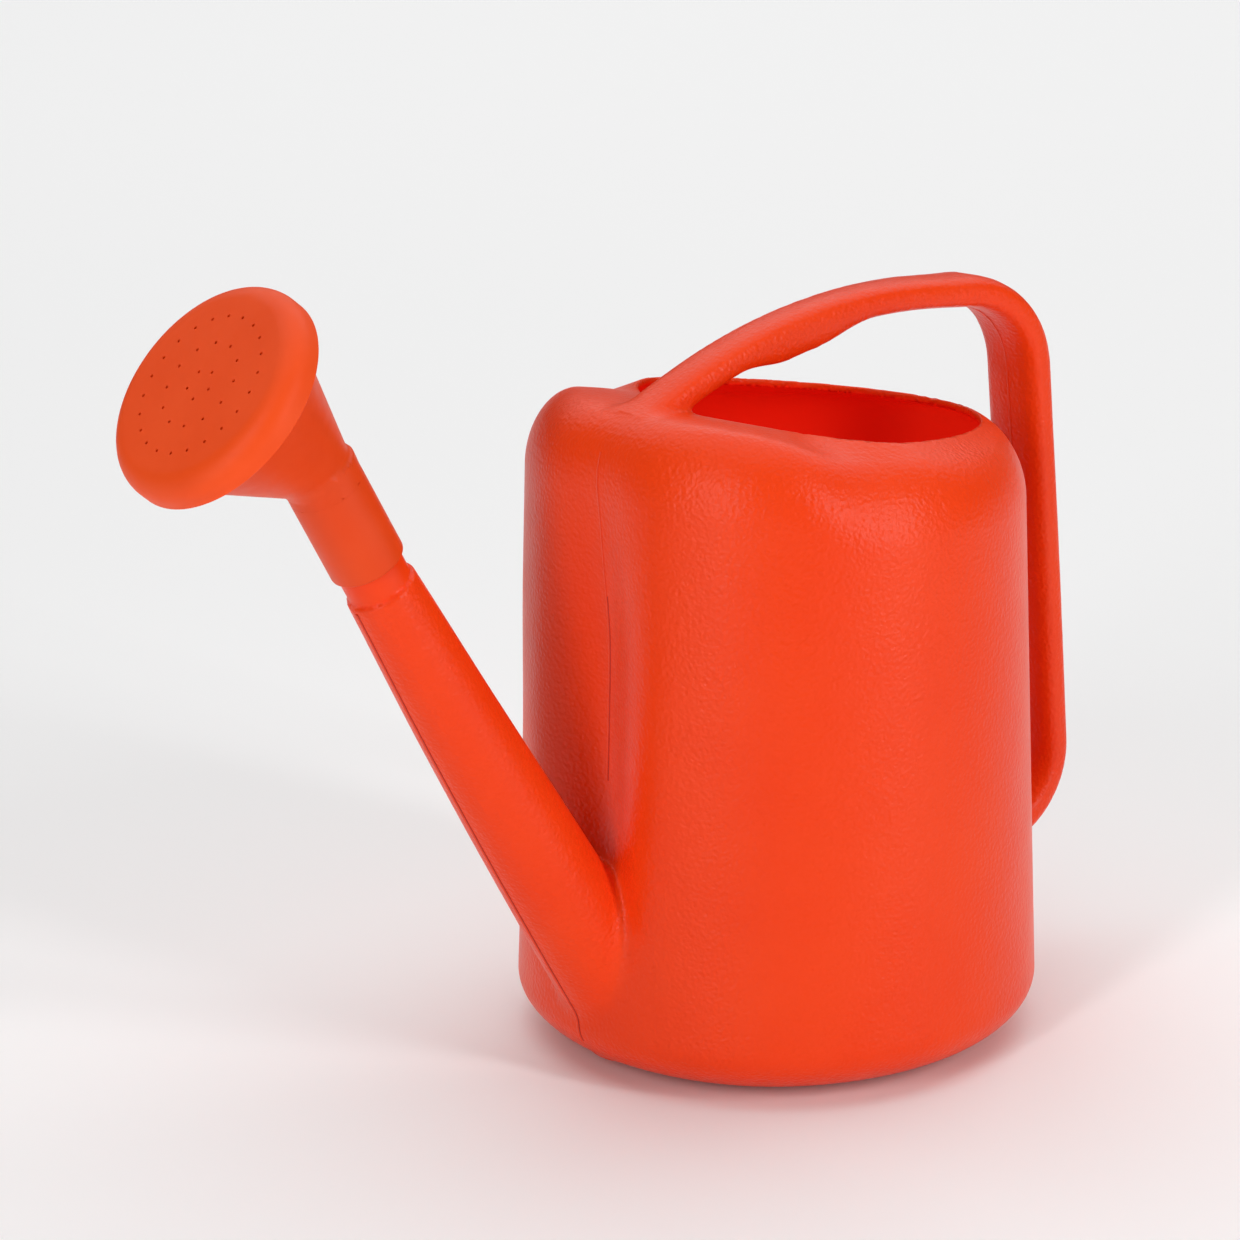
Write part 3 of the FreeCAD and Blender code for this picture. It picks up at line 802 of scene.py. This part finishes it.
def build_seams():
    """The mould's parting line, round the can in its plane of symmetry, with a dark line of painted shade
    beside its bead in the groove and under the spout.
    """
    pale = seam_material("seam_bead", CAN_PALE, 0.4)
    # painted shade: a dark line laid beside the bead, where the parting line's crevice is in shade
    painted_shade = seam_material("seam_painted_shade", SEAM_PAINTED_SHADE, 0.6)
    below = SPOUT_RADIUS + 3
    behind = TANK_RADIUS + 2
    inner_seam = (INNER_SEAM_START, HANDLE_LENGTH - SEAM_CLEAR)
    groove = [(GROOVE_SEAM_X, z) for z in np.arange(*GROOVE_SEAM, SEAM_SPACING)]
    under = [spout_spot(run, -below - SPOUT_GROWTH * run) for run in np.arange(*UNDER_SEAM, SEAM_SPACING)]
    inner = [handle_spot(run, INNER_SEAM_OUT) for run in np.arange(*inner_seam, SEAM_SPACING)]
    rear = [(behind - TANK_DRAFT * z, z) for z in np.arange(*REAR_SEAM, SEAM_SPACING)]
    seam("seam_groove", groove, 0.3, pale)
    # painted shade beside the groove's bead
    seam("seam_groove_painted_shade", [spot for spot in groove if spot[1] < PAINTED_SHADE_TOP], 0.2, painted_shade, -0.45)
    seam("seam_spout_under", under, 0.5, pale)
    # painted shade beside the bead under the spout
    seam("seam_spout_under_painted_shade", under, 0.25, painted_shade, -0.8)
    seam("seam_handle_inner", inner, 0.35, pale)
    seam("seam_rear", rear, 0.3, pale)


def rising(angle):
    """The direction that rises towards the spout's tip at an angle."""
    rise = math.radians(angle)
    return Vector((-math.cos(rise), 0, math.sin(rise)))


def shoulder_point():
    return Vector((SHOULDER[0], 0, SHOULDER[1])) * MM


def smooth_shaded(mesh, material, crease=35.0):
    """Shade a mesh smooth, but for edges sharper than the crease in degrees."""
    mesh.polygons.foreach_set("use_smooth", np.ones(len(mesh.polygons), bool))
    mesh.set_sharp_from_angle(angle=math.radians(crease))
    mesh.materials.append(material)


def build_socket(material):
    """The round sleeve that pushes on the neck."""
    top = SOCKET_END + SOCKET_LAP
    edge_height = SOCKET_START + SOCKET_EDGE
    outline = [(SOCKET_BORE, top), (SOCKET_BORE, edge_height)]
    outline += arc_points((SOCKET_BORE + SOCKET_EDGE, edge_height), SOCKET_EDGE, 180, 270, 4)[1:]
    outline += arc_points((SOCKET_RADIUS - SOCKET_EDGE, edge_height), SOCKET_EDGE, 270, 360, 4)
    outline += [(SOCKET_RADIUS, top)]
    mesh, _ = turned("rose_socket_sleeve", outline, shoulder_point(), rising(NECK_ANGLE), (0, 1, 0))
    smooth_shaded(mesh, material)
    add_piece("rose_socket_sleeve", mesh, "socket", "rose", "rose_socket")


def build_bell(material):
    """The rose's elbow, cone and flange."""
    mesh, _ = field_mesh("rose_bell_cone", bell, *BELL_BOX, BELL_STEP)
    mesh.materials.append(material)
    add_piece("rose_bell_cone", mesh, "rose", "rose", "rose_bell")


def spray_holes(matrix, sides=12):
    """One mesh of short rods, one through each hole of the face."""
    vertices = []
    faces = []
    for radius, count, turn in SPRAY_RINGS:
        for index in range(count):
            around = math.radians(turn + 360 * index / count)
            centre = Vector((radius * math.cos(around), radius * math.sin(around), 0))
            first = len(vertices)
            for height in (-2 * CAP_WALL, CAP_WALL):
                for side in range(sides):
                    angle = 2 * math.pi * side / sides
                    spot = Vector((math.cos(angle), math.sin(angle), 0)) * HOLE_RADIUS
                    vertices.append(matrix @ ((centre + spot + Vector((0, 0, height))) * MM))
            for side in range(sides):
                following = (side + 1) % sides
                low = (first + side, first + following)
                high = (first + sides + following, first + sides + side)
                faces.append(low + high)
            faces.append(tuple(first + side for side in reversed(range(sides))))
            faces.append(tuple(first + sides + side for side in range(sides)))
    mesh = bpy.data.meshes.new("spray_holes")
    mesh.from_pydata(vertices, [], faces)
    return bpy.data.objects.new("spray_holes", mesh)


def build_cap(material):
    """The face: a shallow cup with a full round edge, pierced by its spray holes."""
    rise = math.radians(ROSE_ANGLE)
    bend = CAP_RADIUS - CAP_FLAT
    centre = (CAP_FLAT, -bend)
    outline = [(CAP_CORE, 0.0), (CAP_FLAT, 0.0)]
    outline += arc_points(centre, bend, 90, 0, 14)[1:]
    outline += [(CAP_RADIUS, CAP_EDGE - CAP_DEPTH), (CAP_RADIUS - CAP_EDGE, -CAP_DEPTH)]
    outline += [(CAP_RADIUS - CAP_WALL, -CAP_DEPTH)]
    outline += arc_points(centre, bend - CAP_WALL, 0, 90, 10)
    outline += [(CAP_CORE, -CAP_WALL)]
    elbow = shoulder_point() + rising(NECK_ANGLE) * ELBOW_HEIGHT * MM
    face_centre = elbow + rising(ROSE_ANGLE) * ROSE_DEPTH * MM
    top = (math.sin(rise), 0, math.cos(rise))
    mesh, matrix = turned("rose_face", outline, face_centre, rising(ROSE_ANGLE), top, 128)
    blank = bpy.data.objects.new("rose_face_blank", mesh)
    holes = spray_holes(matrix)
    for item in (blank, holes):
        bpy.context.scene.collection.objects.link(item)
    pierce = blank.modifiers.new("pierce", "BOOLEAN")
    pierce.operation = "DIFFERENCE"
    pierce.solver = "EXACT"
    pierce.object = holes
    evaluated = blank.evaluated_get(bpy.context.evaluated_depsgraph_get())
    pierced = bpy.data.meshes.new_from_object(evaluated)
    for item in (blank, holes):
        bpy.data.objects.remove(item)
    smooth_shaded(pierced, material, 40.0)
    add_piece("rose_face", pierced, "face", "rose_face", "rose_cap")


# ---------------------------------------------------------------- stage

CAMERA_PLACE = (-0.9862, -1.0991, 0.5857)
CAMERA_LOOK = (0.6406, 0.7139, -0.2827)
CAMERA_LENS = 124.84
SENSOR = 36.0
CAMERA_SHIFT = -0.1266

# each light's name, place, target, width, height and power in watts
MIDDLE = (0.0, 0.0, 0.15)
LIGHTS = (
    ("left_softbox", (-1.7, -0.62, 0.7), MIDDLE, 0.25, 1.5, 14.0),
    ("right_softbox", (0.35, -1.78, 0.7), MIDDLE, 0.25, 1.5, 17.0),
    ("top_panel", (2.0, 2.2, 3.0), (2.0, 2.2, 0.0), 7.0, 7.0, 210.0),
)
SURROUND = 0.08
FLOOR_REACH = 9.0


def build_camera():
    """A long lens at the can's left front, a little above it."""
    data = bpy.data.cameras.new("camera")
    data.lens = CAMERA_LENS
    data.sensor_width = SENSOR
    data.shift_x = CAMERA_SHIFT
    data.clip_start = 0.05
    camera = bpy.data.objects.new("camera", data)
    camera.location = CAMERA_PLACE
    camera.rotation_euler = Vector(CAMERA_LOOK).to_track_quat("-Z", "Y").to_euler()
    bpy.context.scene.collection.objects.link(camera)
    bpy.context.scene.camera = camera


def softbox(name, place, target, width, height, power):
    data = bpy.data.lights.new(name, "AREA")
    data.shape = "RECTANGLE"
    data.size = width
    data.size_y = height
    data.energy = power
    light = bpy.data.objects.new(name, data)
    light.location = place
    light.rotation_euler = (Vector(target) - Vector(place)).to_track_quat("-Z", "Y").to_euler()
    bpy.context.scene.collection.objects.link(light)


def build_stage():
    """A pale floor, a tall softbox each side, a broad panel overhead and behind, and a dim surround."""
    mesh = bpy.data.meshes.new("floor")
    signs = ((-1, -1), (1, -1), (1, 1), (-1, 1))
    corners = [(FLOOR_REACH * x, FLOOR_REACH * y, 0) for x, y in signs]
    mesh.from_pydata(corners, [], [(0, 1, 2, 3)])
    floor = bpy.data.objects.new("floor", mesh)
    bpy.context.scene.collection.objects.link(floor)
    mesh.materials.append(paper_material())
    for light in LIGHTS:
        softbox(*light)
    world = bpy.data.worlds.new("surround")
    world.use_nodes = True
    background = world.node_tree.nodes["Background"]
    background.inputs["Color"].default_value = (1, 1, 1, 1)
    background.inputs["Strength"].default_value = SURROUND
    bpy.context.scene.world = world
    bpy.context.scene.view_settings.view_transform = "Standard"


rose_plastic = rose_material("rose_plastic", ROSE_COLOUR, ROSE_PALE, ROSE_ROUGHNESS)
face_plastic = rose_material("face_plastic", FACE_COLOUR, FACE_PALE, FACE_ROUGHNESS)
build_can()
build_seams()
build_socket(rose_plastic)
build_bell(rose_plastic)
build_cap(face_plastic)
build_stage()
build_camera()
